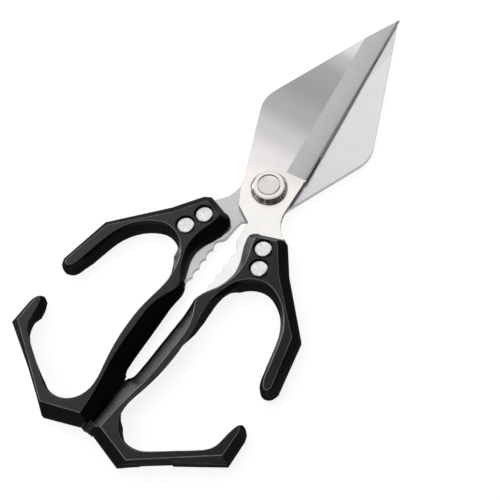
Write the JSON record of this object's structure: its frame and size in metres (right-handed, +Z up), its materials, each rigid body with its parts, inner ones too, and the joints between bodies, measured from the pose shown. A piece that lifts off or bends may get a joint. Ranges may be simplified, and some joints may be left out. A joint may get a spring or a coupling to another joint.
{
  "type": "poultry shears",
  "caption": "Poultry shears: pointed steel blades on a screwed pivot, toothed jaw below it, and open hook handles in black moulding with riveted scales.",
  "frame": {"origin": "on the pivot axis, at the flat back face of the pivot bolt's head, in the plane the shears lie on", "axes": "+Y along the closed blades to their tips, +X to the right handle, +Z up out of the front face"},
  "size_m": [0.1052, 0.2328, 0.011],
  "materials": {
    "satin_steel": "satin, finely ground lengthways",
    "polished_steel": "fine polish",
    "pivot_steel": "turned",
    "black_moulding": "fine moulded texture, satin",
    "grey_rubber": "matte"
  },
  "bodies": {
    "front_half": {"front_blade": "satin_steel", "right_handle_front": "black_moulding", "right_handle_back": "black_moulding", "right_upper_rivet_barrel": "polished_steel", "right_upper_rivet_pin": "polished_steel", "right_lower_rivet_barrel": "polished_steel", "right_lower_rivet_pin": "polished_steel", "right_stop": "grey_rubber", "pivot_bolt": "pivot_steel", "pivot_nut": "pivot_steel", "nut_cap": "polished_steel", "spring_washer": "pivot_steel"},
    "rear_half": {"rear_blade": "satin_steel", "left_handle_front": "black_moulding", "left_handle_back": "black_moulding", "left_upper_rivet_barrel": "polished_steel", "left_upper_rivet_pin": "polished_steel", "left_lower_rivet_barrel": "polished_steel", "left_lower_rivet_pin": "polished_steel", "left_stop": "grey_rubber"}
  },
  "joints": [
    {"name": "pivot", "type": "hinge", "parent": "front_half", "child": "rear_half", "pos_m": [0, 0, 0.0055], "axis": [0, 0, -1], "range_deg": [0, 50]}
  ]
}
